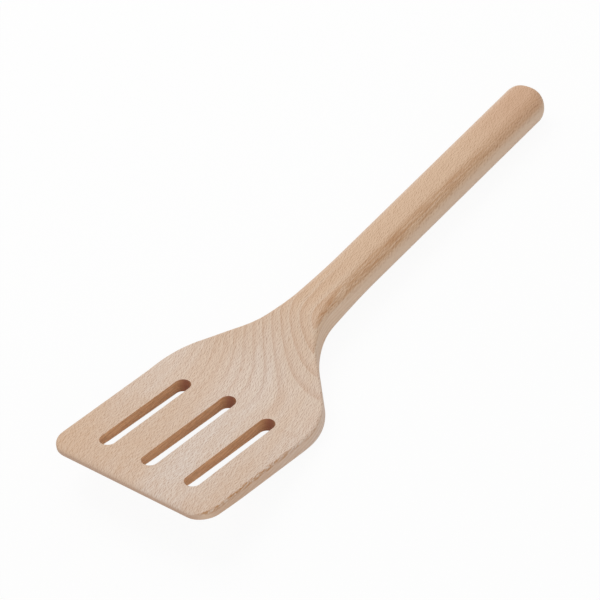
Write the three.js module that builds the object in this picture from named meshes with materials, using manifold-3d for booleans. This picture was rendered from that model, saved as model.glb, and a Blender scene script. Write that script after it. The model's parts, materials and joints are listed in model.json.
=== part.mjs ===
// Slotted turner carved from one piece of beech.
// Millimetres, +Z up, +Y from the blade's tip towards the handle's end, +X across.
// The tool lies as it lies on a table: on the heel of the blade and on the end of the handle.

import * as THREE from 'three';
import { mergeVertices } from 'three/addons/utils/BufferGeometryUtils.js';
import Module from 'manifold-3d';

const radians = THREE.MathUtils.degToRad;

// Overall
const overall_length = 315.5;

// Side view of the top: flat blade, hollow heel curve, straight ramp, round nape curve, level handle
const blade_run = 68;
const blade_tilt = radians(10.1);
const heel_radius = 73;
const ramp_tilt = radians(16.1);
const ramp_length = 22.8;
const nape_radius = 50;

// Thickness, measured upright
const handle_thickness = 14.5;
const heel_thickness = 6.8;
const front_thickness = 6.4;

// Thin tip: a soft round above and a long taper below
const tip_thickness = 1.4;
const tip_drop = 2.6;
const tip_round_length = 8;
const tip_taper_length = 26;
const tip_taper_power = 1.5;

// Plan view
const blade_width = 92;
const tip_corner_length = 10.5;
const tip_corner_width = 8.5;
const tip_bow = 0.8;
const shoulder_start = 72;
const shoulder_radius = 35;
const shoulder_angle = radians(43.6);
const neck_fillet_radius = 40;
const neck_width = 23.1;
const handle_width = 23.9;

// Handle's end: its round from above, and in the side view its rounds over the top and up from below
const handle_end_radius = 9.5;
const end_drop_radius = 2.2;
const end_rise_radius = 10.5;

// Edges: eased along the blade, opening through the neck into the oval handle
const blade_edge_radius = 0.8;
const handle_round_width = 9;
const handle_round_depth = 6.7;
const round_start = 100;
const round_end = 170;

// Slots, placed along the blade's face from the tip
const slot_count = 3;
const slot_width = 8.1;
const slot_pitch = 25;
const slot_setback = 14;
const slot_length = 60;
const middle_slot_extra = 2.4;

// Fineness of the curves
const corner_steps = 6;
const tip_steps = 10;
const taper_steps = 5;
const curve_spacing = 3.5;
const end_steps = 10;
const slot_end_segments = 14;

const beech_colour = 0xd6b593;
const beech_roughness = 0.68;

const blade_half = blade_width / 2;
const neck_half = neck_width / 2;
const handle_half = handle_width / 2;

// Places along the length where the side view changes from one curve to the next
const heel_start_y = blade_run * Math.cos(blade_tilt);
const heel_low_y = heel_start_y + heel_radius * Math.sin(blade_tilt);
const heel_end_y = heel_low_y + heel_radius * Math.sin(ramp_tilt);
const ramp_end_y = heel_end_y + ramp_length * Math.cos(ramp_tilt);
const nape_end_y = ramp_end_y + nape_radius * Math.sin(ramp_tilt);

// Heights of those places below the handle's top
const ramp_end_z = -nape_radius * (1 - Math.cos(ramp_tilt));
const heel_end_z = ramp_end_z - ramp_length * Math.sin(ramp_tilt);
const heel_low_z = heel_end_z - heel_radius * (1 - Math.cos(ramp_tilt));
const heel_start_z = heel_low_z + heel_radius * (1 - Math.cos(blade_tilt));
const tip_z = heel_start_z + blade_run * Math.sin(blade_tilt);

// Places along the length where the plan view changes. The outline turns in by the shoulder angle, or by
// less where the shoulder's round and the neck's fillet would meet before that.
const step_in = (blade_half - neck_half) / (shoulder_radius + neck_fillet_radius);
const turn_in = Math.min(shoulder_angle, Math.acos(Math.max(0, 1 - step_in)));
const shoulder_end_y = shoulder_start + shoulder_radius * Math.sin(turn_in);
const shoulder_end_x = blade_half - shoulder_radius * (1 - Math.cos(turn_in));
const fillet_start_x = neck_half + neck_fillet_radius * (1 - Math.cos(turn_in));
const slope_run = (shoulder_end_x - fillet_start_x) / Math.tan(turn_in);
const fillet_start_y = shoulder_end_y + slope_run;
const fillet_end_y = fillet_start_y + neck_fillet_radius * Math.sin(turn_in);

// The end's rounds stop short of the handle's middle, so that a flat is always left there
const end_radius = Math.min(handle_end_radius, 0.95 * handle_half);
const end_rise = Math.min(end_rise_radius, 0.95 * (handle_thickness - end_drop_radius));

// Depth of a round edge of the given radius, a distance in from where the round begins
function roundDepth(radius, distance) {
  const reach = THREE.MathUtils.clamp(distance, 0, radius);
  return radius - Math.sqrt(radius * radius - reach * reach);
}

function topHeight(y) {
  if (y < heel_start_y) {
    return heel_start_z + (heel_start_y - y) * Math.tan(blade_tilt);
  }
  if (y < heel_end_y) {
    return heel_low_z + roundDepth(heel_radius, Math.abs(y - heel_low_y));
  }
  if (y < ramp_end_y) {
    return ramp_end_z - (ramp_end_y - y) * Math.tan(ramp_tilt);
  }
  return -roundDepth(nape_radius, nape_end_y - y);
}

// How far the soft round takes the top down towards the tip
function tipDropAt(y) {
  const reach = 1 - THREE.MathUtils.clamp(y / tip_round_length, 0, 1);
  return tip_drop * roundDepth(1, reach);
}

function thicknessAt(y) {
  const along_blade = THREE.MathUtils.clamp(y / heel_start_y, 0, 1);
  const blade = THREE.MathUtils.lerp(front_thickness, heel_thickness, along_blade);
  const swell = THREE.MathUtils.smoothstep(y, heel_start_y, nape_end_y);
  const taper = 1 - THREE.MathUtils.clamp(y / tip_taper_length, 0, 1);
  const under = (front_thickness - tip_thickness - tip_drop) * taper ** tip_taper_power;
  return THREE.MathUtils.lerp(blade, handle_thickness, swell) - tipDropAt(y) - under;
}

function halfWidthAt(y) {
  if (y < shoulder_start) {
    const corner = roundDepth(tip_corner_length, tip_corner_length - y) / tip_corner_length;
    return blade_half - tip_corner_width * corner;
  }
  if (y < shoulder_end_y) {
    return blade_half - roundDepth(shoulder_radius, y - shoulder_start);
  }
  if (y < fillet_start_y) {
    return shoulder_end_x - (y - shoulder_end_y) * Math.tan(turn_in);
  }
  const flare = roundDepth(neck_fillet_radius, fillet_end_y - y);
  const along_handle = THREE.MathUtils.clamp((y - fillet_end_y) / (overall_length - fillet_end_y), 0, 1);
  const end_round = roundDepth(end_radius, y - overall_length + end_radius);
  return THREE.MathUtils.lerp(neck_half, handle_half, along_handle) + flare - end_round;
}

// Width or depth of the rounded corners of a cross-section
function cornerRound(y, handle_round, limit) {
  const opening = THREE.MathUtils.smoothstep(y, round_start, round_end);
  return Math.min(THREE.MathUtils.lerp(blade_edge_radius, handle_round, opening), limit);
}

// Where the cross-sections stand: close together where an outline curves
function stationList() {
  const stations = [];
  for (let i = 0; i <= tip_steps; i += 1) {
    stations.push(tip_corner_length * (1 - Math.cos((i / tip_steps) * Math.PI / 2)));
  }
  for (let i = 1; i <= taper_steps; i += 1) {
    stations.push(THREE.MathUtils.lerp(tip_corner_length, tip_taper_length, i / taper_steps));
  }
  const curve_start = Math.min(heel_start_y, shoulder_start);
  const curve_end = Math.max(nape_end_y, fillet_end_y, round_end);
  const curve_count = Math.round((curve_end - curve_start) / curve_spacing);
  for (let i = 0; i <= curve_count; i += 1) {
    stations.push(THREE.MathUtils.lerp(curve_start, curve_end, i / curve_count));
  }
  for (let i = 0; i <= end_steps; i += 1) {
    const left = 1 - Math.sin((i / end_steps) * Math.PI / 2);
    stations.push(overall_length - left * Math.max(end_radius, end_rise));
  }
  return stations.sort((a, b) => a - b);
}

// One cross-section: a rectangle with oval corners, seen from the tip and listed anticlockwise
function sectionPoints(y) {
  const half = halfWidthAt(y);
  const top_drop = roundDepth(end_drop_radius, y - overall_length + end_drop_radius);
  const bottom_rise = roundDepth(end_rise, y - overall_length + end_rise);
  const thickness = thicknessAt(y) - top_drop - bottom_rise;
  const round_x = cornerRound(y, handle_round_width, 0.96 * half);
  const round_z = cornerRound(y, handle_round_depth, 0.48 * thickness);
  const bow_fade = 1 - THREE.MathUtils.smoothstep(y, 0, tip_corner_length);
  const points = [];
  for (let corner = 0; corner < 4; corner += 1) {
    const side = corner === 0 || corner === 3 ? 1 : -1;
    const centre_depth = corner < 2 ? round_z : thickness - round_z;
    for (let i = 0; i <= corner_steps; i += 1) {
      const turn = (corner + i / corner_steps) * Math.PI / 2;
      const x = side * (half - round_x) + round_x * Math.cos(turn);
      const depth = tipDropAt(y) + top_drop + centre_depth - round_z * Math.sin(turn);
      const bow = tip_bow * (1 - (x / blade_half) ** 2) * bow_fade;
      points.push(new THREE.Vector3(x, y - bow, topHeight(y - bow) - depth));
    }
  }
  return points;
}

// Skin over the cross-sections, closed at the tip and at the handle's end
function loftedBlank() {
  const rings = stationList().map(sectionPoints);
  const count = rings[0].length;
  const positions = [];
  const triangles = [];
  for (const ring of rings) {
    for (const point of ring) {
      positions.push(point.x, point.y, point.z);
    }
  }
  for (let r = 0; r + 1 < rings.length; r += 1) {
    for (let i = 0; i < count; i += 1) {
      const a = r * count + i;
      const b = r * count + (i + 1) % count;
      triangles.push(a, a + count, b);
      triangles.push(b, a + count, b + count);
    }
  }
  const last = (rings.length - 1) * count;
  for (let i = 1; i + 1 < count; i += 1) {
    triangles.push(0, i, i + 1);
    triangles.push(last, last + i + 1, last + i);
  }
  const geometry = new THREE.BufferGeometry();
  geometry.setAttribute('position', new THREE.Float32BufferAttribute(positions, 3));
  geometry.setIndex(triangles);
  return geometry;
}

// A straight cutter with round ends, standing square on the blade's face
function slotCutter(x, length) {
  const radius = slot_width / 2;
  const outline = new THREE.Shape();
  outline.absarc(0, slot_setback + length - radius, radius, 0, Math.PI, false);
  outline.absarc(0, slot_setback + radius, radius, Math.PI, 2 * Math.PI, false);
  const reach = handle_thickness;
  const geometry = new THREE.ExtrudeGeometry(outline, {
    depth: 2 * reach,
    bevelEnabled: false,
    curveSegments: slot_end_segments,
  });
  geometry.translate(x, 0, -reach);
  geometry.rotateX(-blade_tilt);
  geometry.translate(0, 0, tip_z);
  return geometry;
}

const wasm = await Module();
wasm.setup();

function solidOf(geometry) {
  const bare = geometry.clone();
  bare.deleteAttribute('normal');
  bare.deleteAttribute('uv');
  const welded = mergeVertices(bare, 1e-5);
  return new wasm.Manifold(new wasm.Mesh({
    numProp: 3,
    vertProperties: new Float32Array(welded.getAttribute('position').array),
    triVerts: new Uint32Array(welded.getIndex().array),
  }));
}

function geometryOf(solid) {
  const mesh = solid.getMesh();
  const geometry = new THREE.BufferGeometry();
  geometry.setAttribute('position', new THREE.Float32BufferAttribute(mesh.vertProperties, 3));
  geometry.setIndex(Array.from(mesh.triVerts));
  return geometry;
}

// Angle about X that sets the heel and the handle's end down on one flat surface
function restTilt(geometry) {
  const position = geometry.getAttribute('position');
  const lowest = (angle, wanted) => {
    let low = Infinity;
    for (let i = 0; i < position.count; i += 1) {
      if (wanted(position.getY(i))) {
        const z = position.getY(i) * Math.sin(angle) + position.getZ(i) * Math.cos(angle);
        low = Math.min(low, z);
      }
    }
    return low;
  };
  let least = radians(-15);
  let most = radians(15);
  for (let i = 0; i < 40; i += 1) {
    const angle = (least + most) / 2;
    const heel = lowest(angle, (y) => y < nape_end_y);
    const handle = lowest(angle, (y) => y >= nape_end_y);
    if (heel < handle) {
      most = angle;
    } else {
      least = angle;
    }
  }
  return (least + most) / 2;
}

let body = solidOf(loftedBlank());
for (let i = 0; i < slot_count; i += 1) {
  const from_middle = i - (slot_count - 1) / 2;
  const length = slot_length + (from_middle === 0 ? middle_slot_extra : 0);
  body = body.subtract(solidOf(slotCutter(from_middle * slot_pitch, length)));
}

const spatula_geometry = geometryOf(body);
spatula_geometry.rotateX(restTilt(spatula_geometry));
spatula_geometry.computeBoundingBox();
const box = spatula_geometry.boundingBox;
spatula_geometry.translate(0, -(box.min.y + box.max.y) / 2, -box.min.z);
spatula_geometry.computeVertexNormals();

const beech = new THREE.MeshStandardMaterial({
  name: 'sanded_beech',
  color: beech_colour,
  roughness: beech_roughness,
  metalness: 0,
});

const spatula_body = new THREE.Mesh(spatula_geometry, beech);
spatula_body.name = 'spatula_body';

const slotted_turner = new THREE.Group();
slotted_turner.name = 'slotted_turner';
slotted_turner.add(spatula_body);

export default slotted_turner;
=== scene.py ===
"""Slotted turner in solid beech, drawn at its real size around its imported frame."""

import json
import math

import bmesh
import bpy
from bpy.props import FloatProperty, FloatVectorProperty, IntProperty, PointerProperty
from mathutils import Matrix, Vector


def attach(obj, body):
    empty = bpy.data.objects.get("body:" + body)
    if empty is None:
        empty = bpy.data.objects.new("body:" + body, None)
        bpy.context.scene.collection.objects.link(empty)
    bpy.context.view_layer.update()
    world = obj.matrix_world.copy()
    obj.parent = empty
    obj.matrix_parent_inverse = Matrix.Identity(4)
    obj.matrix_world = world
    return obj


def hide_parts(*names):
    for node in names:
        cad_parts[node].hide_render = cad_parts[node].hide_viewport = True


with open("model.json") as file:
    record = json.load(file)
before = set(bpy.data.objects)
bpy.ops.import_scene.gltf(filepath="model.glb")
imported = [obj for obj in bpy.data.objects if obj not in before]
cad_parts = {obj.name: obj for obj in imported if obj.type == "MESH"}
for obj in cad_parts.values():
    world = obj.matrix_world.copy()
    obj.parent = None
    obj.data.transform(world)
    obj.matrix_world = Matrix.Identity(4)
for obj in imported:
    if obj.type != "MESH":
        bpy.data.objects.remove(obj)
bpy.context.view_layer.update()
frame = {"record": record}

bl_info = {
    "name": "Slotted beech turner",
    "version": (1, 0, 0),
    "blender": (4, 5, 0),
    "location": "3D View > Sidebar > Turner",
    "description": "Carves a slotted wooden turner from one piece of beech and lights it in a plain studio",
    "category": "Add Mesh",
}

MILLIMETRE = 0.001
WHITE = (1.0, 1.0, 1.0, 1.0)


def linear(hex_colour):
    """Linear red, green and blue of an sRGB hex colour."""
    channels = [int(hex_colour[i:i + 2], 16) / 255 for i in (1, 3, 5)]
    return tuple(c / 12.92 if c <= 0.04045 else ((c + 0.055) / 1.055) ** 2.4 for c in channels)


def rgba(colour):
    return (*colour, 1.0)


def length_property(name, description, millimetres):
    return FloatProperty(
        name=name,
        description=description,
        default=millimetres * MILLIMETRE,
        min=0.0,
        precision=4,
        unit="LENGTH",
        subtype="DISTANCE",
    )


def angle_property(name, description, degrees):
    return FloatProperty(
        name=name, description=description, default=math.radians(degrees), unit="ROTATION", subtype="ANGLE"
    )


def colour_property(name, description, hex_colour):
    return FloatVectorProperty(
        name=name,
        description=description,
        default=linear(hex_colour),
        min=0.0,
        max=1.0,
        size=3,
        subtype="COLOR",
    )


def lengths_property(name, description, millimetres):
    return FloatVectorProperty(
        name=name,
        description=description,
        default=[length * MILLIMETRE for length in millimetres],
        size=len(millimetres),
        unit="LENGTH",
        subtype="TRANSLATION",
    )


def share_property(name, description, share):
    return FloatProperty(
        name=name, description=description, default=share, min=0.0, max=1.0, subtype="FACTOR"
    )


def resting_tilt():
    """Tilt in degrees at which the turner lies on its heel and handle end, from the handle's mount."""
    mounts = frame["record"]["mounts"]
    underside = next(m for m in mounts if m["name"] == "handle_underside")
    return math.degrees(math.asin(underside["axis"][1]))


class TurnerSizes(bpy.types.PropertyGroup):
    """Sizes of the carved beech, along the length from the blade's tip."""

    overall_length: length_property("Overall length", "Tip to handle end, along the level handle", 315.5)
    blade_run: length_property("Blade run", "Length of the flat of the blade", 68)
    blade_tilt: angle_property("Blade tilt", "Fall of the blade from its tip to the heel", 10.1)
    heel_radius: length_property("Heel radius", "Hollow curve between the blade and the ramp", 73)
    ramp_tilt: angle_property("Ramp tilt", "Rise of the neck towards the handle", 16.1)
    ramp_length: length_property("Ramp length", "Straight part of the neck's rise", 22.8)
    nape_radius: length_property("Nape radius", "Round curve from the neck into the handle", 50)
    handle_thickness: length_property("Handle thickness", "Depth of the handle", 14.5)
    heel_thickness: length_property("Heel thickness", "Depth of the blade at its heel", 6.8)
    front_thickness: length_property("Front thickness", "Depth of the blade before it thins", 5.2)
    tip_thickness: length_property("Tip thickness", "Depth of the thin front edge", 1.4)
    tip_drop: length_property("Tip drop", "How far the top rounds down at the tip", 2.6)
    tip_round_length: length_property("Tip round length", "Reach of that round from the tip", 8)
    tip_taper_length: length_property("Tip taper length", "Reach of the taper underneath", 26)
    tip_taper_power: FloatProperty(name="Tip taper curve", description="1 is straight", default=1.5)
    blade_width: length_property("Blade width", "Width across the blade", 92)
    tip_corner_length: length_property("Tip corner length", "Round of a tip corner, lengthwise", 10.5)
    tip_corner_width: length_property("Tip corner width", "Round of a tip corner, across", 8.5)
    tip_bow: length_property("Tip bow", "Swell of the tip edge at its middle", 0.8)
    shoulder_start: length_property("Shoulder start", "Where the sides begin to turn in", 72)
    shoulder_radius: length_property("Shoulder radius", "Round of a shoulder", 35)
    shoulder_angle: angle_property("Shoulder angle", "Slope of the sides behind the shoulder", 43.6)
    neck_fillet_radius: length_property("Neck fillet", "Hollow between a shoulder and the handle", 40)
    neck_width: length_property("Neck width", "Width where the handle begins", 23.1)
    handle_width: length_property("Handle width", "Width at the handle's end", 23.9)
    left_end_radius: length_property("Left end round", "Left corner of the handle's end from above", 6.5)
    right_end_radius: length_property("Right end round", "Right corner of the handle's end from above", 9.8)
    end_drop_radius: length_property("End drop", "Round over the top at the handle's end", 2.2)
    end_rise_radius: length_property("End rise", "Round up from below at the handle's end", 10.5)
    upper_edge_radius: length_property("Upper edge round", "Sanded round along the top of the blade", 1.6)
    lower_edge_radius: length_property("Lower edge round", "Sanded round along the blade's underside", 0.8)
    handle_round_width: length_property("Handle round width", "Oval round of the handle, across", 9)
    handle_round_depth: length_property("Handle round depth", "Oval round of the handle, upright", 6.7)
    round_start: length_property("Round start", "Where the edges begin to open into the oval", 100)
    round_end: length_property("Round end", "Where the handle has its full oval", 170)
    slot_count: IntProperty(name="Slots", description="Slots through the blade", default=3, min=1)
    slot_width: length_property("Slot width", "Width of the cutter", 8.1)
    slot_pitch: length_property("Slot pitch", "Spacing of the slots", 25)
    slot_setback: length_property("Slot setback", "Tip to the front of the slots, along the face", 14)
    slot_length: length_property("Slot length", "Length of the outer slots", 60)
    middle_slot_extra: length_property("Middle slot extra", "How much longer the middle slot is", 2.4)
    slot_rim_round: length_property("Slot rim round", "Sanding of the slots' rims", 0.4)
    rest_tilt: angle_property("Rest tilt", "Turn that sets heel and handle end on a table", resting_tilt())


class BeechFinish(bpy.types.PropertyGroup):
    """Colours and grain of the bare, fine-sanded beech, and the painted light and shade laid over them.

    A tone, side, reach or fade gives two places along or across the turner, measured from its middle: where
    something begins, and where it is full."""

    blade_colour: colour_property("Blade wood", "Pale pinkish wood of the blade", "#e9dcd0")
    handle_colour: colour_property("Handle wood", "Warmer wood from the neck on", "#dcbb9b")
    butt_colour: colour_property("Handle end wood", "Darker wood at the handle's end", "#d3ac8b")
    # Tan wood for tone on the tip's right corner and the right shoulder, and painted light: a painted sheen
    # on the handle's sides and a paler lift on faces cut across the fibres, most of all the handle's end
    tan_tone_and_painted_light: colour_property("Side wood", "Paler wood where a side lies along the rays", "#dcc0a7")
    early_colour: colour_property("Early wood", "Pale wood at the start of a year's growth", "#e4d1bc")
    # Dark autumn wood of the rings, also laid over the sides as painted shade
    late_wood_and_painted_shade: colour_property("Late wood", "Darker wood at the end of a year's growth", "#b98a66")
    streak_colour: colour_property("Fibre streak", "Slightly darker bundles of fibres", "#c09a7c")
    fleck_colour: colour_property("Ray fleck", "Short brown marks of the wood rays", "#a06d49")
    # Browner rounds along the right of the handle and the blade: partly grain where a round runs out through
    # the rings, partly painted shade of the rounds' core shadow
    edge_grain_and_painted_shade: colour_property("Worked edge", "Browner wood where a round cuts into rings", "#b07840")
    # End grain, also painted shade on the thin front edge and at the slots' ends
    end_grain_and_painted_shade: colour_property("End grain", "Wood cut across its fibres", "#9e644a")
    # The slot walls' browning and its scorch are partly the cutter's heat and partly painted shade inside the
    # slots
    routed_wall_and_painted_shade: colour_property("Routed wall", "Slot wall browned by the cutter", "#eebf90")
    scorch_and_painted_shade: colour_property("Scorched streak", "Darker lines left by the cutter", "#a06a43")

    warm_side: lengths_property("Warm side", "Warmer left of the blade, across", (30, -60))
    warm_strength: share_property("Warm strength", "Strength of the warmer left", 0.25)
    tip_tone: lengths_property("Tip tone", "Warmer wood of the tip, along", (-80, -155))
    tip_side: lengths_property("Tip side", "Warmer left of the tip, across", (10, -32))
    corner_side: lengths_property("Corner side", "Warmer right corner of the tip, across", (14, 70))
    tip_strength: share_property("Tip strength", "Strength of the warmer tip", 0.75)
    shoulder_tone: lengths_property("Shoulder tone", "Warmer right shoulder, along", (-104, -72))
    shoulder_side: lengths_property("Shoulder side", "Warmer right shoulder, across", (25, 42))
    shoulder_strength: share_property("Shoulder strength", "Strength of the warmer shoulder", 0.6)
    # Painted shade that darkens the sides, more towards the tip
    side_painted_shade: share_property("Side strength", "Strength of the blade's darker sides", 0.34)
    front_side_painted_shade: share_property("Front side strength", "How much darker they get at the tip", 0.12)
    handle_tone: lengths_property("Handle tone", "Warmer wood of the handle, along", (-68, -14))
    butt_tone: lengths_property("Handle end tone", "Darker wood at the handle's end, along", (90, 150))

    band_width: length_property("Band width", "Distance between broad bands of warmer wood", 44)
    band_place: length_property("Band place", "Where a band crosses the middle, across the fibres", 7)
    band_side: lengths_property("Band side", "Broad bands, across", (110, -12))
    band_strength: share_property("Band strength", "Strength of the broad bands", 0.5)
    cloud_width: length_property("Cloud width", "Width of the broad warmer streaks", 7)
    cloud_length: length_property("Cloud length", "Length of the broad warmer streaks", 80)
    cloud_strength: share_property("Cloud strength", "Strength of the broad streaks", 0.25)

    pith: lengths_property("Pith", "A point on the tree's middle, above the board", (29, -29, 114.8))
    pith_yaw: angle_property("Pith yaw", "Turn of the tree's middle from the handle", 7.9)
    pith_pitch: angle_property("Pith pitch", "Rise of the tree's middle along the handle", 0.7)
    ring_growth: length_property("Ring growth", "Pith's distance squared over a ring's width", 5560)
    ring_start: share_property("Ring start", "Part of a year to shift the rings by", 0.879)
    ring_waver: share_property("Ring waver", "Part of a ring's width that it wavers by", 0.3)
    waver_size: length_property("Waver size", "Distance between a ring's bends", 25)
    ring_reach: lengths_property("Ring reach", "Rings coming on, along", (-108, -55))
    ring_fade: lengths_property("Ring fade", "Rings, from where they are gone, along", (30, -30))
    ring_side: lengths_property("Ring side", "Rings coming on, across", (-70, 10))
    early_strength: share_property("Early strength", "Strength of a ring's pale part", 0.42)
    late_strength: share_property("Late strength", "Strength of a ring's dark part", 0.32)
    # Lean of the sideways mask, which carries painted shade and a painted sheen as well as the rings on the
    # sides
    side_lean: angle_property("Ray tilt", "Lean of the rays from upright", 17)

    fibre_lean: angle_property("Fibre lean", "Slant of the fibres from the handle", 13)
    streak_width: length_property("Streak width", "Width of a bundle of fibres", 0.4)
    streak_length: length_property("Streak length", "Length of a bundle of fibres", 9)
    streak_strength: share_property("Streak strength", "Strength of the fibre streaks", 0.16)
    fleck_length: length_property("Fleck length", "Height of a wood ray along the fibres", 1.2)
    fleck_spacing: length_property("Fleck spacing", "Distance from ray to ray across the fibres", 1.1)
    fleck_strength: share_property("Fleck strength", "Strength of the ray flecks", 0.6)

    # The handle's browner round is partly grain and partly painted shade of its core shadow
    edge_turn: angle_property("Edge turn", "Lean of the handle's round that is brownest", 30)
    edge_reach: lengths_property("Edge reach", "Handle's browner round coming on, along", (-36, -24))
    edge_fade: lengths_property("Edge fade", "The same from where it is gone, along", (220, 40))
    edge_strength: share_property("Edge strength", "Strength of the handle's browner round", 0.35)
    torn_size: lengths_property("Torn line", "Width, length and depth of a torn line", (0.6, 25, 0.6))
    # The blade's browner right edge is partly grain and partly painted shade of its core shadow
    blade_edge_turn: angle_property("Blade edge turn", "Lean of the blade's round that is brownest", 45)
    blade_edge_reach: lengths_property("Blade edge reach", "Blade's browner edge, along", (-55, -130))
    blade_edge_strength: share_property("Blade edge strength", "Strength of the blade's browner edge", 0.5)
    nick_size: lengths_property("Nick", "Width, length and depth of the blade edge's marks", (0.9, 7, 0.9))
    # The darker front edge is partly end grain and partly painted shade
    front_reach: lengths_property("Front reach", "Darker front edge, along", (-153, -157))
    front_strength: share_property("Front strength", "Strength of the darker front edge", 0.37)

    cutter_lean: angle_property("Cutter lean", "Fall of the cutter's lines along the slots", -11.4)
    cutter_line: lengths_property("Cutter line", "Depth, length and width of a cutter's line", (4, 14, 0.5))
    cutter_strength: share_property("Cutter strength", "Strength of the cutter's lines", 0.4)
    # Partly the cutter's scorch, partly painted shade inside the slots
    scorch_and_painted_shade_strength: share_property("Scorch strength", "Strength of the scorched fibres", 0.3)

    roughness: share_property("Roughness", "Bare beech sanded with fine grit", 0.54)
    streak_roughness: share_property("Streak roughness", "The same in a bundle of fibres", 0.68)
    pore_depth: length_property("Pore depth", "Depth of the grain that can be felt", 0.02)


class StudioLayout(bpy.types.PropertyGroup):
    """Floor, soft lamps and camera."""

    floor_size: length_property("Floor size", "Side of the pale floor", 8000)
    floor_colour: colour_property("Floor colour", "Pale studio floor", "#f4f4f2")
    floor_glow: share_property("Floor glow", "Plain white that the camera sees in it", 0.93)
    world_strength: share_property("Room light", "Even light from all round", 0.5)
    key_place: lengths_property("Key place", "Middle of the large softbox", (-850, 400, 1050))
    key_size: length_property("Key size", "Side of the large softbox", 1000)
    key_power: FloatProperty(name="Key power", description="Large softbox", default=10.0, unit="POWER")
    fill_place: lengths_property("Fill place", "Middle of the low softbox by the camera", (850, -600, 420))
    fill_size: length_property("Fill size", "Side of the low softbox", 700)
    fill_power: FloatProperty(name="Fill power", description="Low softbox", default=2.2, unit="POWER")
    camera_aim: lengths_property("Camera aim", "Point in the middle of the picture", (-11, -17.5, 10))
    camera_distance: length_property("Camera distance", "Camera to its aim", 1504.6)
    camera_azimuth: angle_property("Camera azimuth", "Round from the tip towards +X", 45.61)
    camera_elevation: angle_property("Camera elevation", "Above the floor", 43.25)
    camera_roll: angle_property("Camera roll", "Turn of the picture", -11.24)
    camera_lens: FloatProperty(name="Lens", description="Focal length", default=192.0, unit="CAMERA")
    camera_sensor: FloatProperty(name="Sensor", description="Sensor width", default=36.0, unit="CAMERA")


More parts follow.
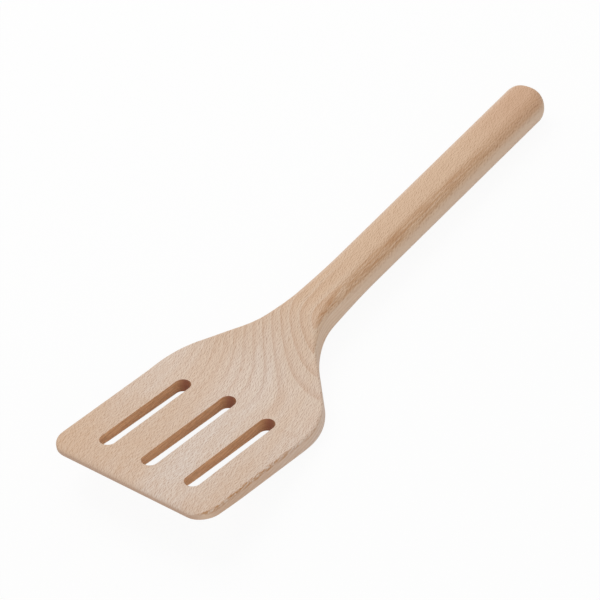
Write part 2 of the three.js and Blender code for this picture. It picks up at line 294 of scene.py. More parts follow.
class TurnerForm:
    """The turner's outline from above and from the side, worked out from its sizes.

    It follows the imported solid's form with finer steps. Here y runs from the tip to the handle's end, and z
    is 0 on top of the level handle."""

    SECTION_STEPS = 10
    TIP_STEPS = 16
    END_STEPS = 14
    FLAT_SPACING = 6 * MILLIMETRE
    CURVE_SPACING = 2 * MILLIMETRE
    LEAST_SPACING = 0.01 * MILLIMETRE
    # The largest that a round may be, as a part of the width or depth that it is cut from
    END_LIMIT = 0.95
    CORNER_WIDTH_LIMIT = 0.96
    CORNER_DEPTH_LIMIT = 0.48

    def __init__(self, sizes):
        self.sizes = sizes
        self.blade_half = sizes.blade_width / 2
        self.neck_half = sizes.neck_width / 2
        self.handle_half = sizes.handle_width / 2
        end_depth = sizes.handle_thickness - sizes.end_drop_radius
        self.left_end = min(sizes.left_end_radius, self.END_LIMIT * self.handle_half)
        self.right_end = min(sizes.right_end_radius, self.END_LIMIT * self.handle_half)
        self.end_rise = min(sizes.end_rise_radius, self.END_LIMIT * end_depth)
        self.place_side_view()
        self.place_plan_view()

    def place_side_view(self):
        """Where the flat blade, the heel, the ramp and the nape meet."""
        s = self.sizes
        self.heel_start_y = s.blade_run * math.cos(s.blade_tilt)
        self.heel_low_y = self.heel_start_y + s.heel_radius * math.sin(s.blade_tilt)
        self.heel_end_y = self.heel_low_y + s.heel_radius * math.sin(s.ramp_tilt)
        self.ramp_end_y = self.heel_end_y + s.ramp_length * math.cos(s.ramp_tilt)
        self.nape_end_y = self.ramp_end_y + s.nape_radius * math.sin(s.ramp_tilt)
        self.ramp_end_z = -s.nape_radius * (1 - math.cos(s.ramp_tilt))
        heel_end_z = self.ramp_end_z - s.ramp_length * math.sin(s.ramp_tilt)
        self.heel_low_z = heel_end_z - s.heel_radius * (1 - math.cos(s.ramp_tilt))
        self.heel_start_z = self.heel_low_z + s.heel_radius * (1 - math.cos(s.blade_tilt))
        self.tip_z = self.heel_start_z + s.blade_run * math.sin(s.blade_tilt)

    def place_plan_view(self):
        """Where the shoulder's round, the straight slope and the neck's fillet meet."""
        s = self.sizes
        step_in = (self.blade_half - self.neck_half) / (s.shoulder_radius + s.neck_fillet_radius)
        self.turn_in = min(s.shoulder_angle, math.acos(max(0.0, 1 - step_in)))
        self.shoulder_end_y = s.shoulder_start + s.shoulder_radius * math.sin(self.turn_in)
        self.shoulder_end_x = self.blade_half - s.shoulder_radius * (1 - math.cos(self.turn_in))
        fillet_start_x = self.neck_half + s.neck_fillet_radius * (1 - math.cos(self.turn_in))
        slope_run = (self.shoulder_end_x - fillet_start_x) / math.tan(self.turn_in)
        self.fillet_start_y = self.shoulder_end_y + slope_run
        self.fillet_end_y = self.fillet_start_y + s.neck_fillet_radius * math.sin(self.turn_in)

    def top(self, y):
        s = self.sizes
        if y < self.heel_start_y:
            return self.heel_start_z + (self.heel_start_y - y) * math.tan(s.blade_tilt)
        if y < self.heel_end_y:
            return self.heel_low_z + round_depth(s.heel_radius, abs(y - self.heel_low_y))
        if y < self.ramp_end_y:
            return self.ramp_end_z - (self.ramp_end_y - y) * math.tan(s.ramp_tilt)
        return -round_depth(s.nape_radius, self.nape_end_y - y)

    def tip_drop(self, y):
        """How far the soft round takes the top down towards the tip."""
        s = self.sizes
        return s.tip_drop * round_depth(1, 1 - clamp(y / s.tip_round_length))

    def thickness(self, y):
        s = self.sizes
        blade = mix(s.front_thickness, s.heel_thickness, clamp(y / self.heel_start_y))
        full = mix(blade, s.handle_thickness, ease(y, self.heel_start_y, self.nape_end_y))
        taper = (1 - clamp(y / s.tip_taper_length)) ** s.tip_taper_power
        return full - self.tip_drop(y) - taper * (s.front_thickness - s.tip_thickness - s.tip_drop)

    def half_width(self, y, side):
        """Distance from the middle to the outline, on the right (1) or on the left (-1)."""
        s = self.sizes
        if y < s.shoulder_start:
            corner = round_depth(s.tip_corner_length, s.tip_corner_length - y) / s.tip_corner_length
            return self.blade_half - s.tip_corner_width * corner
        if y < self.shoulder_end_y:
            return self.blade_half - round_depth(s.shoulder_radius, y - s.shoulder_start)
        if y < self.fillet_start_y:
            return self.shoulder_end_x - (y - self.shoulder_end_y) * math.tan(self.turn_in)
        flare = round_depth(s.neck_fillet_radius, self.fillet_end_y - y)
        along_handle = clamp((y - self.fillet_end_y) / (s.overall_length - self.fillet_end_y))
        end_radius = self.right_end if side > 0 else self.left_end
        end_round = round_depth(end_radius, y - s.overall_length + end_radius)
        return mix(self.neck_half, self.handle_half, along_handle) + flare - end_round

    def corner_round(self, y, blade_round, handle_round, limit):
        """Width or depth of a rounded corner of a cross-section."""
        s = self.sizes
        return min(mix(blade_round, handle_round, ease(y, s.round_start, s.round_end)), limit)

    def section(self, y):
        """One cross-section: a rectangle with oval corners, seen from the tip and listed anticlockwise."""
        s = self.sizes
        top_drop = round_depth(s.end_drop_radius, y - s.overall_length + s.end_drop_radius)
        bottom_rise = round_depth(self.end_rise, y - s.overall_length + self.end_rise)
        thickness = self.thickness(y) - top_drop - bottom_rise
        bow_fade = 1 - ease(y, 0, s.tip_corner_length)
        points = []
        for corner in range(4):
            side = 1 if corner in (0, 3) else -1
            half = self.half_width(y, side)
            blade_round = s.upper_edge_radius if corner < 2 else s.lower_edge_radius
            width_limit = self.CORNER_WIDTH_LIMIT * half
            depth_limit = self.CORNER_DEPTH_LIMIT * thickness
            round_x = self.corner_round(y, blade_round, s.handle_round_width, width_limit)
            round_z = self.corner_round(y, blade_round, s.handle_round_depth, depth_limit)
            centre_depth = round_z if corner < 2 else thickness - round_z
            for i in range(self.SECTION_STEPS + 1):
                turn = (corner + i / self.SECTION_STEPS) * math.pi / 2
                x = side * (half - round_x) + round_x * math.cos(turn)
                depth = self.tip_drop(y) + top_drop + centre_depth - round_z * math.sin(turn)
                bow = s.tip_bow * (1 - (x / self.blade_half) ** 2) * bow_fade
                points.append(Vector((x, y - bow, self.top(y - bow) - depth)))
        return points

    def stations(self):
        """Where the cross-sections stand: close together where an outline curves."""
        s = self.sizes
        curve_start = min(self.heel_start_y, s.shoulder_start)
        curve_end = max(self.nape_end_y, self.fillet_end_y, s.round_end)
        end_reach = max(self.left_end, self.right_end, self.end_rise)
        places = []
        for i in range(self.TIP_STEPS + 1):
            places.append(s.tip_corner_length * (1 - math.cos(i / self.TIP_STEPS * math.pi / 2)))
        places += even_steps(s.tip_corner_length, s.tip_taper_length, self.CURVE_SPACING)
        places += even_steps(s.tip_taper_length, curve_start, self.FLAT_SPACING)
        places += even_steps(curve_start, curve_end, self.CURVE_SPACING)
        places += even_steps(curve_end, s.overall_length - end_reach, self.FLAT_SPACING)
        for i in range(self.END_STEPS + 1):
            places.append(s.overall_length - end_reach * (1 - math.sin(i / self.END_STEPS * math.pi / 2)))
        places.sort()
        return [y for y, after in zip(places, places[1:]) if after - y > self.LEAST_SPACING] + places[-1:]

    def slots(self):
        """Place across the blade and length of each slot."""
        s = self.sizes
        for i in range(s.slot_count):
            from_middle = i - (s.slot_count - 1) / 2
            extra = s.middle_slot_extra if from_middle == 0 else 0
            yield from_middle * s.slot_pitch, s.slot_length + extra


def clamp(value, low=0.0, high=1.0):
    return max(low, min(high, value))


def mix(start, end, share):
    return start + (end - start) * share


def ease(value, start, end):
    share = clamp((value - start) / (end - start))
    return share * share * (3 - 2 * share)


def round_depth(radius, distance):
    """Depth of a round edge of that radius, a distance in from where the round begins."""
    reach = clamp(distance, 0, radius)
    return radius - math.sqrt(radius * radius - reach * reach)


def even_steps(start, end, spacing):
    count = max(1, round((end - start) / spacing))
    return [mix(start, end, i / count) for i in range(count + 1)]


def mesh_of(shape, name):
    """The bmesh as a mesh, with its normals set to point out."""
    bmesh.ops.recalc_face_normals(shape, faces=shape.faces[:])
    mesh = bpy.data.meshes.new(name)
    shape.to_mesh(mesh)
    shape.free()
    return mesh


def placed(name, mesh):
    piece = bpy.data.objects.new(name, mesh)
    bpy.context.scene.collection.objects.link(piece)
    return piece


def sawn_blank(form):
    """Skin over the cross-sections, closed at the tip and at the handle's end."""
    blank = bmesh.new()
    rings = [[blank.verts.new(point) for point in form.section(y)] for y in form.stations()]
    count = len(rings[0])
    for near, far in zip(rings, rings[1:]):
        for i in range(count):
            j = (i + 1) % count
            blank.faces.new((near[i], far[i], far[j], near[j]))
    blank.faces.new(rings[0])
    blank.faces.new(reversed(rings[-1]))
    return blank


SLOT_END_STEPS = 20
RIM_STEPS = 3


def slot_cutters(form):
    """Straight cutters with round ends, standing square on the blade's face."""
    s = form.sizes
    radius = s.slot_width / 2
    reach = s.handle_thickness
    cutters = bmesh.new()
    for x, length in form.slots():
        ends = ((s.slot_setback + length - radius, 0), (s.slot_setback + radius, math.pi))
        outline = []
        for middle, start in ends:
            for i in range(SLOT_END_STEPS + 1):
                turn = start + i / SLOT_END_STEPS * math.pi
                outline.append((x + radius * math.cos(turn), middle + radius * math.sin(turn)))
        low = [cutters.verts.new((px, py, -reach)) for px, py in outline]
        high = [cutters.verts.new((px, py, reach)) for px, py in outline]
        for i in range(len(outline)):
            j = (i + 1) % len(outline)
            cutters.faces.new((low[i], low[j], high[j], high[i]))
        cutters.faces.new(reversed(low))
        cutters.faces.new(high)
    stand = Matrix.Translation((0, 0, form.tip_z)) @ Matrix.Rotation(-s.blade_tilt, 4, "X")
    bmesh.ops.transform(cutters, matrix=stand, verts=cutters.verts[:])
    return cutters


def cut_slots(blank, cutters):
    """The blank's mesh with the slots cut through, each wall in the cutters' material."""
    cut = blank.modifiers.new("slots", "BOOLEAN")
    cut.operation = "DIFFERENCE"
    cut.solver = "EXACT"
    cut.material_mode = "TRANSFER"
    cut.object = cutters
    bpy.context.view_layer.update()
    finished = blank.evaluated_get(bpy.context.evaluated_depsgraph_get())
    mesh = bpy.data.meshes.new_from_object(finished)
    blank.modifiers.clear()
    return mesh


def round_slot_rims(mesh, radius):
    """Takes the sharp corner off the rims, where the face meets a slot's wall."""
    shape = bmesh.new()
    shape.from_mesh(mesh)
    rims = [
        edge for edge in shape.edges
        if len({face.material_index for face in edge.link_faces}) > 1
    ]
    bmesh.ops.bevel(
        shape, geom=rims, offset=radius, offset_type="OFFSET", segments=RIM_STEPS, profile=0.5,
        affect="EDGES", clamp_overlap=True, material=0,
    )
    for face in shape.faces:
        face.smooth = True
    shape.to_mesh(mesh)
    shape.free()


def set_down(mesh, tilt):
    """Turns the turner to lie on its heel and handle end, with the floor under its middle at the origin."""
    mesh.transform(Matrix.Rotation(tilt, 4, "X"))
    ys = [v.co.y for v in mesh.vertices]
    lowest = min(v.co.z for v in mesh.vertices)
    mesh.transform(Matrix.Translation((0, -(min(ys) + max(ys)) / 2, -lowest)))


def add_node(tree, kind, inputs, output=0, **settings):
    """Adds one node and gives one of its outputs. An input is a value, or another node's output to link."""
    node = tree.nodes.new("ShaderNode" + kind)
    for name, value in settings.items():
        setattr(node, name, value)
    for name, value in inputs.items():
        if isinstance(value, bpy.types.NodeSocket):
            tree.links.new(value, node.inputs[name])
        else:
            node.inputs[name].default_value = value
    return node.outputs[output] if node.outputs else node


def empty_material(name):
    material = bpy.data.materials.new(name)
    material.use_nodes = True
    material.node_tree.nodes.clear()
    return material


def sanded_beech(finish):
    """Beech, sawn to shape and sanded fine, left bare.

    It is pale and matt, pinkish on the blade and warmer along the handle, with broad soft bands. Its year
    rings are fine arcs where the neck cuts through them, and its rays are short brown flecks along the
    fibres. It is browner on the right rounds, partly where a round runs out through the rings and partly as
    painted shade of the rounds' core shadow. Its sides carry painted shade, the handle's sides a painted
    sheen, and the handle's end painted light. The thin front edge is darker, partly end grain and partly
    painted shade."""
    material = empty_material("sanded_beech")
    tree = material.node_tree
    place = add_node(tree, "TexCoord", {}, "Object")
    normal = place.node.outputs["Normal"]
    side = sideways_facing(tree, finish, normal)
    top = top_facing(tree, normal)
    year = part_of_year(tree, finish, place)
    streaks = fibre_streaks(tree, finish, place)
    flecks = overlap(tree, ray_flecks(tree, finish, place), top)
    colour = stained(tree, finish.blade_colour, (
        *blade_tones(tree, finish, place, side, top),
        *handle_tones(tree, finish, place, side, top, year),
        *ring_tones(tree, finish, place, year),
        # Grain with painted shade on the handle's right round
        (handle_edge(tree, finish, place, normal), finish.edge_grain_and_painted_shade),
        (overlap(tree, streaks, finish.streak_strength), finish.streak_colour),
        (flecks, finish.fleck_colour),
        # Grain with painted shade on the blade's right edge
        (blade_edge(tree, finish, place, normal), finish.edge_grain_and_painted_shade),
        # Painted light: faces cut across the fibres take the tan, which lifts the handle's end paler
        (cut_across(tree, finish, normal), finish.tan_tone_and_painted_light),
        # End grain with painted shade on the thin front edge
        (front_edge(tree, finish, place, normal), finish.end_grain_and_painted_shade),
    ))
    grained_surface(tree, finish, colour, streaks, flecks)
    return material


def blade_tones(tree, finish, place, side, top):
    """Layers of the blade: warmer left, tip and right shoulder, broad bands, and painted shade that darkens
    the sides.
    """
    warm_left = along_board(tree, place, finish.warm_side, "X")
    tip = overlap(tree, along_board(tree, place, finish.tip_tone), finish.tip_strength)
    shoulder = overlap(
        tree,
        along_board(tree, place, finish.shoulder_tone),
        along_board(tree, place, finish.shoulder_side, "X"),
        top,
        finish.shoulder_strength,
    )
    front = along_board(tree, place, finish.blade_edge_reach)
    return (
        (overlap(tree, warm_left, finish.warm_strength), finish.handle_colour),
        (overlap(tree, tip, along_board(tree, place, finish.tip_side, "X")), finish.handle_colour),
        (overlap(tree, tip, along_board(tree, place, finish.corner_side, "X")), finish.tan_tone_and_painted_light),
        (shoulder, finish.tan_tone_and_painted_light),
        (broad_bands(tree, finish, place), finish.handle_colour),
        (broad_clouds(tree, finish, place), finish.handle_colour),
        # Painted shade: the sides are darkened, more towards the tip
        (overlap(tree, side, finish.side_painted_shade), finish.late_wood_and_painted_shade),
        (overlap(tree, side, front, finish.front_side_painted_shade), finish.late_wood_and_painted_shade),
    )


def handle_tones(tree, finish, place, side, top, year):
    """Layers of the handle: warmer wood, darker on top at its end, late wood on the sides, and a painted
    sheen that makes the sides paler.
    """
    handle = along_board(tree, place, finish.handle_tone)
    butt = overlap(tree, along_board(tree, place, finish.butt_tone), top)
    return (
        (handle, finish.handle_colour),
        (butt, finish.butt_colour),
        (overlap(tree, side, late_wood(tree, finish, year)), finish.late_wood_and_painted_shade),
        # Painted sheen: the handle's sides are made paler
        (overlap(tree, side, handle), finish.tan_tone_and_painted_light),
    )


def ring_tones(tree, finish, place, year):
    """Layers of the year rings, which show most on the right of the neck."""
    rings = overlap(
        tree,
        along_board(tree, place, finish.ring_reach),
        along_board(tree, place, finish.ring_fade),
        along_board(tree, place, finish.ring_side, "X"),
    )
    return (
        (overlap(tree, rings, early_wood(tree, finish, year)), finish.early_colour),
        (overlap(tree, rings, late_wood(tree, finish, year)), finish.late_wood_and_painted_shade),
    )


def routed_beech(finish):
    """Beech cut by a fast router bit and left as cut.

    The walls are browned by the heat, with fine lines along the slot, and the end grain at the slot's ends
    takes the most heat and is the darkest. The browning and the darkness are also partly painted shade and
    painted warm bounce light inside the slots."""
    material = empty_material("routed_beech")
    tree = material.node_tree
    place = add_node(tree, "TexCoord", {}, "Object")
    normal = place.node.outputs["Normal"]
    year = part_of_year(tree, finish, place)
    streaks = fibre_streaks(tree, finish, place)
    flecks = ray_flecks(tree, finish, place)
    lines = cutter_lines(tree, finish, place)
    colour = stained(tree, finish.routed_wall_and_painted_shade, (
        # Painted shade with the cutter's scorch: the slot walls are darkened
        (overlap(tree, streaks, finish.scorch_and_painted_shade_strength), finish.scorch_and_painted_shade),
        (overlap(tree, lines, finish.cutter_strength), finish.scorch_and_painted_shade),
        (late_wood(tree, finish, year), finish.scorch_and_painted_shade),
        # End grain with painted shade at the slots' ends
        (cut_across(tree, finish, normal), finish.end_grain_and_painted_shade),
    ))
    grained_surface(tree, finish, colour, streaks, flecks)
    return material


# Sockets of a Mix node that is set to colours: several of them share a name
MIX_SHARE, MIX_BASE, MIX_LAYER, MIX_RESULT = 0, 6, 7, 2


def stained(tree, base, layers):
    """The base colour with each layer laid over it in turn, by that layer's share."""
    colour = rgba(base)
    for share, layer in layers:
        colour = add_node(tree, "Mix", {
            MIX_SHARE: share, MIX_BASE: colour, MIX_LAYER: rgba(layer),
        }, MIX_RESULT, data_type="RGBA")
    return colour


def grained_surface(tree, finish, colour, streaks, flecks):
    """Matt wood whose streaks and rays lie a little low, and whose streaks are rougher than the rest."""
    low = add_node(tree, "Math", {0: streaks, 1: flecks}, operation="ADD")
    relief = add_node(tree, "Bump", {
        "Strength": 0.35, "Distance": finish.pore_depth, "Height": low,
    }, invert=True)
    roughness = add_node(tree, "MapRange", {
        "Value": streaks, "To Min": finish.roughness, "To Max": finish.streak_roughness,
    })
    surface = add_node(tree, "BsdfPrincipled", {
        "Base Color": colour, "Roughness": roughness, "IOR": 1.5, "Normal": relief,
    })
    add_node(tree, "OutputMaterial", {"Surface": surface})


def overlap(tree, share, *others):
    """Where all of the patterns show; a number among them is a part of the full strength."""
    for other in others:
        share = add_node(tree, "Math", {0: share, 1: other}, operation="MULTIPLY")
    return share


def along_board(tree, place, reach, axis="Y"):
    """0 at the reach's first place along the turner, or across it, and 1 at its second."""
    distance = add_node(tree, "SeparateXYZ", {0: place}, axis)
    first, second = reach
    return add_node(tree, "MapRange", {
        "Value": distance, "From Min": first, "From Max": second,
    }, interpolation_type="SMOOTHSTEP")


def part_of_year(tree, finish, place):
    """How much of its year had passed when the wood grew: 0 in spring, 1 in autumn.

    The rings lie round the tree's middle and are wider away from it."""
    in_tree = add_node(tree, "Mapping", {
        "Vector": place, "Location": finish.pith, "Rotation": (finish.pith_pitch, 0.0, finish.pith_yaw),
    }, vector_type="TEXTURE")
    flat = add_node(tree, "VectorMath", {0: in_tree, 1: (1.0, 0.0, 1.0)}, operation="MULTIPLY")
    radius = add_node(tree, "VectorMath", {0: flat}, "Value", operation="LENGTH")
    years = add_node(tree, "Math", {0: -finish.ring_growth, 1: radius}, operation="DIVIDE")
    waver = add_node(tree, "TexNoise", {
        "Vector": in_tree, "Scale": 1 / finish.waver_size, "Detail": 0.0,
    })
    wavered = add_node(tree, "Math", {
        0: waver, 1: finish.ring_waver, 2: years,
    }, operation="MULTIPLY_ADD")
    since_start = add_node(tree, "Math", {
        0: wavered, 1: finish.ring_start - finish.ring_waver / 2,
    }, operation="ADD")
    return add_node(tree, "Math", {0: since_start}, operation="FRACT")


def early_wood(tree, finish, year):
    """Pale spring wood, fading out by the summer."""
    return add_node(tree, "MapRange", {
        "Value": year, "From Min": 0.5, "From Max": 0.0, "To Max": finish.early_strength,
    }, interpolation_type="SMOOTHSTEP")


def late_wood(tree, finish, year):
    """Dark autumn wood, which comes on slowly and stops at the next spring."""
    darkening = add_node(tree, "MapRange", {
        "Value": year, "From Min": 0.5, "From Max": 0.95, "To Max": finish.late_strength,
    }, interpolation_type="SMOOTHSTEP")
    stop = add_node(tree, "MapRange", {"Value": year, "From Min": 1.0, "From Max": 0.94})
    return overlap(tree, darkening, stop)


def along_fibres(tree, finish, place, across, along, deep):
    """Places measured across and along the slanting fibres, with one pattern cell of that size as 1."""
    return add_node(tree, "Mapping", {
        "Vector": place, "Rotation": (0.0, 0.0, finish.fibre_lean), "Scale": (across, along, deep),
    }, vector_type="TEXTURE")


# A wave texture turns by this many radians over a distance of 1
WAVE_TURN = 20.0


def broad_bands(tree, finish, place):
    """Broad bands of warmer wood along the fibres, as wide as several years' growth."""
    across = along_fibres(tree, finish, place, finish.band_width, 1.0, 1.0)
    bands = add_node(tree, "TexWave", {
        "Vector": across, "Scale": math.tau / WAVE_TURN, "Distortion": 0.0,
        "Phase Offset": math.pi - math.tau * finish.band_place / finish.band_width,
    }, "Fac")
    left = along_board(tree, place, finish.band_side, "X")
    return overlap(tree, bands, finish.band_strength, left)


def broad_clouds(tree, finish, place):
    """Broad soft streaks of warmer wood along the fibres."""
    width = finish.cloud_width
    clouds = along_fibres(tree, finish, place, width, finish.cloud_length, width)
    noise = add_node(tree, "TexNoise", {"Vector": clouds, "Scale": 1.0, "Detail": 2.0})
    return add_node(tree, "MapRange", {
        "Value": noise, "From Min": 0.35, "From Max": 0.65, "To Max": finish.cloud_strength,
    }, interpolation_type="SMOOTHSTEP")


def fibre_streaks(tree, finish, place):
    """Silky lengthwise streaks of denser fibres.

    Single fibres are far too fine to show, so bundles are drawn, coarser than the real ones."""
    width = finish.streak_width
    bundles = along_fibres(tree, finish, place, width, finish.streak_length, width)
    noise = add_node(tree, "TexNoise", {"Vector": bundles, "Scale": 1.0, "Detail": 1.0})
    return add_node(tree, "MapRange", {"Value": noise, "From Min": 0.3, "From Max": 0.7})


def ray_flecks(tree, finish, place):
    """Dense short marks along the fibres, where the wood rays come out end-on.

    A ray runs through the board from face to face, so the pattern is the same at every depth. Real rays
    stand closer together: they are drawn coarser, so that they show."""
    waves_per_cell = 0.75
    across = waves_per_cell * finish.fleck_spacing
    rays = along_fibres(tree, finish, place, across, finish.fleck_length, across)
    marks = add_node(tree, "TexGabor", {
        "Vector": rays, "Scale": 1.0, "Frequency": waves_per_cell, "Anisotropy": 1.0, "Orientation": 0.0,
    }, "Value")
    return add_node(tree, "MapRange", {
        "Value": marks, "From Min": 0.45, "From Max": 0.75, "To Max": finish.fleck_strength,
    })


def facing(tree, normal, way):
    """How nearly the surface faces that way, as a cosine."""
    return add_node(tree, "VectorMath", {0: normal, 1: way}, "Value", operation="DOT_PRODUCT")


def sideways_facing(tree, finish, normal):
    """Where the surface faces sideways: the sides, and more of the left round than of the right. It carries
    the rings on the handle's sides, painted shade on the sides and a painted sheen on the handle's sides.
    """
    round_tree = (math.cos(finish.side_lean), 0.0, -math.sin(finish.side_lean))
    either_way = add_node(tree, "Math", {0: facing(tree, normal, round_tree)}, operation="ABSOLUTE")
    return add_node(tree, "MapRange", {
        "Value": either_way, "From Min": 0.5, "From Max": 0.85,
    }, interpolation_type="SMOOTHSTEP")


def top_facing(tree, normal):
    """The upper and lower faces, where the rays come out end-on."""
    up = (0.0, 0.0, 1.0)
    either_way = add_node(tree, "Math", {0: facing(tree, normal, up)}, operation="ABSOLUTE")
    return add_node(tree, "MapRange", {"Value": either_way, "From Min": 0.2, "From Max": 0.7})


# Cosines to the brownest lean, at which the browner round, partly grain and partly painted shade, begins and
# is full
HANDLE_EDGE_FACING = (0.90, 1.0)
BLADE_EDGE_FACING = (0.60, 0.95)


def handle_edge(tree, finish, place, normal):
    """Where the handle's right round leans to the right, from the neck on: partly wood where the round runs
    out through the rings, partly painted shade of the round's core shadow.
    """
    return overlap(
        tree,
        leaning(tree, normal, finish.edge_turn, HANDLE_EDGE_FACING),
        finish.edge_strength,
        torn_lines(tree, place, finish.torn_size),
        along_board(tree, place, finish.edge_reach),
        along_board(tree, place, finish.edge_fade),
    )


def blade_edge(tree, finish, place, normal):
    """Where the blade's right edge is rounded, most towards the tip: partly wood where the round runs out
    through the rings, partly painted shade of the round's core shadow.
    """
    return overlap(
        tree,
        leaning(tree, normal, finish.blade_edge_turn, BLADE_EDGE_FACING),
        finish.blade_edge_strength,
        torn_lines(tree, place, finish.nick_size),
        along_board(tree, place, finish.blade_edge_reach),
    )


def leaning(tree, normal, turn, facing_range):
    """Where the surface leans to the right by about that turn."""
    begins, full = facing_range
    lean = (math.sin(turn), 0.0, math.cos(turn))
    return add_node(tree, "MapRange", {
        "Value": facing(tree, normal, lean), "From Min": begins, "From Max": full,
    }, interpolation_type="SMOOTHSTEP")


def torn_lines(tree, place, size):
    """Broken lines of torn fibres along the turner, from none to double strength.

    They are drawn coarser than the real ones, so that they show."""
    lines = add_node(tree, "Mapping", {"Vector": place, "Scale": size}, vector_type="TEXTURE")
    torn = add_node(tree, "TexNoise", {
        "Vector": lines, "Scale": 1.0, "Detail": 3.0, "Roughness": 0.7,
    })
    return add_node(tree, "MapRange", {
        "Value": torn, "From Min": 0.40, "From Max": 0.60, "To Min": 0.0, "To Max": 2.0,
    })


def cutter_lines(tree, finish, place):
    """Lines that the turning cutter leaves along the slot's walls, drawn coarser so that they show."""
    lines = add_node(tree, "Mapping", {
        "Vector": place, "Rotation": (finish.cutter_lean, 0.0, 0.0), "Scale": finish.cutter_line,
    }, vector_type="TEXTURE")
    noise = add_node(tree, "TexNoise", {"Vector": lines, "Scale": 1.0, "Detail": 1.0})
    return add_node(tree, "MapRange", {"Value": noise, "From Min": 0.35, "From Max": 0.65})


def front_edge(tree, finish, place, normal):
    """The thin front edge, darker: partly end grain, partly painted shade on the edge that faces away from
    the light.
    """
    front = along_board(tree, place, finish.front_reach)
    return overlap(tree, cut_across(tree, finish, normal), finish.front_strength, front)


def cut_across(tree, finish, normal):
    """How squarely the surface is cut across the fibres."""
    fibre = (-math.sin(finish.fibre_lean), math.cos(finish.fibre_lean), 0.0)
    squarely = facing(tree, normal, fibre)
    return overlap(tree, squarely, squarely)


class TURNER_OT_carve_body(bpy.types.Operator):
    """Carve the turner from one piece of beech: blade, slots, neck and handle"""

    bl_idname = "turner.carve_body"
    bl_label = "Carve the beech"
    bl_options = {"REGISTER", "UNDO"}

    def execute(self, context):
        turner = context.scene.turner
        form = TurnerForm(turner.sizes)
        blank = placed("beech_blank", mesh_of(sawn_blank(form), "beech_blank"))
        cutters = placed("slot_cutters", mesh_of(slot_cutters(form), "slot_cutters"))
        routed = routed_beech(turner.finish)
        blank.data.materials.append(sanded_beech(turner.finish))
        cutters.data.materials.append(routed)
        mesh = cut_slots(blank, cutters)
        bpy.data.objects.remove(blank)
        bpy.data.objects.remove(cutters)
        if routed.name not in mesh.materials:
            raise RuntimeError("The slots did not cut through the blade")
        mesh.name = "carved_turner"
        round_slot_rims(mesh, turner.sizes.slot_rim_round)
        set_down(mesh, turner.sizes.rest_tilt)
        body = placed("carved_turner", mesh)
        even = body.modifiers.new("even shading", "WEIGHTED_NORMAL")
        even.keep_sharp = True
        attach(body, "root")
        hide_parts("spatula_body")
        return {"FINISHED"}


def pale_board(layout):
    """Matt painted board: near white to the camera, with the turner's soft shadow left in it."""
    material = empty_material("pale_board")
    tree = material.node_tree
    board = add_node(tree, "BsdfDiffuse", {"Color": rgba(layout.floor_colour)})
    white = add_node(tree, "Emission", {"Color": WHITE, "Strength": 1.0})
    glow = overlap(tree, seen_directly(tree), layout.floor_glow)
    surface = add_node(tree, "MixShader", {0: glow, 1: board, 2: white})
    add_node(tree, "OutputMaterial", {"Surface": surface})
    return material


def seen_directly(tree):
    """1 for what the camera sees, also in a reflection or through glass, and 0 for light on the turner."""
    camera = add_node(tree, "LightPath", {}, "Is Camera Ray")
    path = camera.node.outputs
    mirrored = add_node(tree, "Math", {
        0: path["Is Glossy Ray"], 1: path["Is Transmission Ray"],
    }, operation="MAXIMUM")
    return add_node(tree, "Math", {0: camera, 1: mirrored}, operation="MAXIMUM")


def studio_room(layout):
    """Even white room light, seen by the camera as plain white."""
    world = bpy.data.worlds.new("studio_room")
    world.use_nodes = True
    tree = world.node_tree
    tree.nodes.clear()
    room = add_node(tree, "Background", {"Color": WHITE, "Strength": layout.world_strength})
    white = add_node(tree, "Background", {"Color": WHITE, "Strength": 1.0})
    surface = add_node(tree, "MixShader", {0: seen_directly(tree), 1: room, 2: white})
    add_node(tree, "OutputWorld", {"Surface": surface})
    return world


def softbox(name, place, size, power):
    lamp = bpy.data.lights.new(name, "AREA")
    lamp.shape = "SQUARE"
    lamp.size = size
    lamp.energy = power
    box = placed(name, lamp)
    box.location = place
    box.rotation_euler = (-Vector(place)).to_track_quat("-Z", "Y").to_euler()
    return box


def studio_camera(layout):
    lens = bpy.data.cameras.new("photo_camera")
    lens.lens = layout.camera_lens
    lens.sensor_width = layout.camera_sensor
    camera = placed("photo_camera", lens)
    azimuth, elevation = layout.camera_azimuth, layout.camera_elevation
    back = Vector((
        math.sin(azimuth) * math.cos(elevation),
        -math.cos(azimuth) * math.cos(elevation),
        math.sin(elevation),
    ))
    level = (-back).to_track_quat("-Z", "Y").to_matrix().to_4x4()
    stand = Matrix.Translation(Vector(layout.camera_aim) + back * layout.camera_distance)
    camera.matrix_world = stand @ level @ Matrix.Rotation(layout.camera_roll, 4, "Z")
    return camera


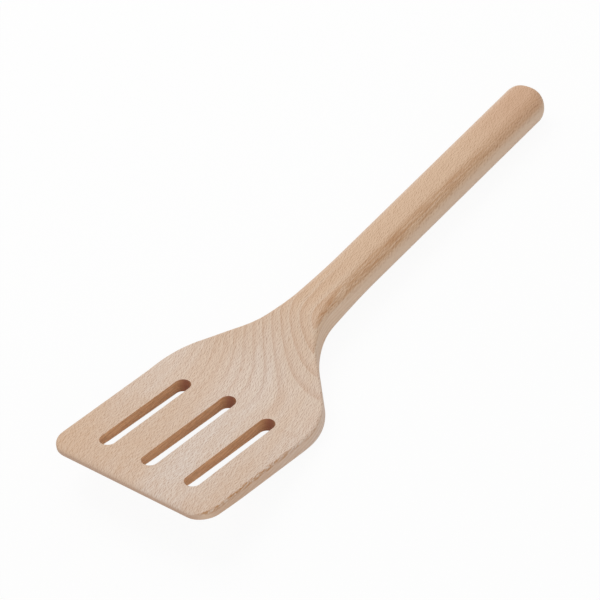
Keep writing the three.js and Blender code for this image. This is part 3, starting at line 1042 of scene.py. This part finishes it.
class TURNER_OT_set_stage(bpy.types.Operator):
    """Set the floor, the soft lamps, the room light and the camera"""

    bl_idname = "turner.set_stage"
    bl_label = "Set the stage"
    bl_options = {"REGISTER", "UNDO"}

    def execute(self, context):
        layout = context.scene.turner.studio
        board = bmesh.new()
        bmesh.ops.create_grid(board, x_segments=1, y_segments=1, size=layout.floor_size / 2)
        floor = placed("studio_floor", mesh_of(board, "studio_floor"))
        floor.data.materials.append(pale_board(layout))
        context.scene.world = studio_room(layout)
        softbox("key_softbox", layout.key_place, layout.key_size, layout.key_power)
        softbox("fill_softbox", layout.fill_place, layout.fill_size, layout.fill_power)
        context.scene.camera = studio_camera(layout)
        context.scene.view_settings.view_transform = "Standard"
        return {"FINISHED"}


class TurnerSettings(bpy.types.PropertyGroup):
    """All that a user would change."""

    sizes: PointerProperty(type=TurnerSizes)
    finish: PointerProperty(type=BeechFinish)
    studio: PointerProperty(type=StudioLayout)


class TURNER_PT_sidebar(bpy.types.Panel):
    """Sizes, finish and stage of the turner"""

    bl_idname = "TURNER_PT_sidebar"
    bl_label = "Slotted turner"
    bl_space_type = "VIEW_3D"
    bl_region_type = "UI"
    bl_category = "Turner"

    def draw(self, context):
        turner = context.scene.turner
        for operator, settings in (
            (TURNER_OT_carve_body, turner.sizes),
            (None, turner.finish),
            (TURNER_OT_set_stage, turner.studio),
        ):
            column = self.layout.column(align=True)
            for name in settings.__annotations__:
                column.prop(settings, name)
            if operator:
                column.operator(operator.bl_idname)


CLASSES = (
    TurnerSizes,
    BeechFinish,
    StudioLayout,
    TurnerSettings,
    TURNER_OT_carve_body,
    TURNER_OT_set_stage,
    TURNER_PT_sidebar,
)


def register():
    for cls in CLASSES:
        bpy.utils.register_class(cls)
    bpy.types.Scene.turner = PointerProperty(type=TurnerSettings)


def unregister():
    del bpy.types.Scene.turner
    for cls in reversed(CLASSES):
        bpy.utils.unregister_class(cls)


def main():
    register()
    bpy.ops.turner.carve_body()
    bpy.ops.turner.set_stage()


if __name__ == "__main__":
    main()
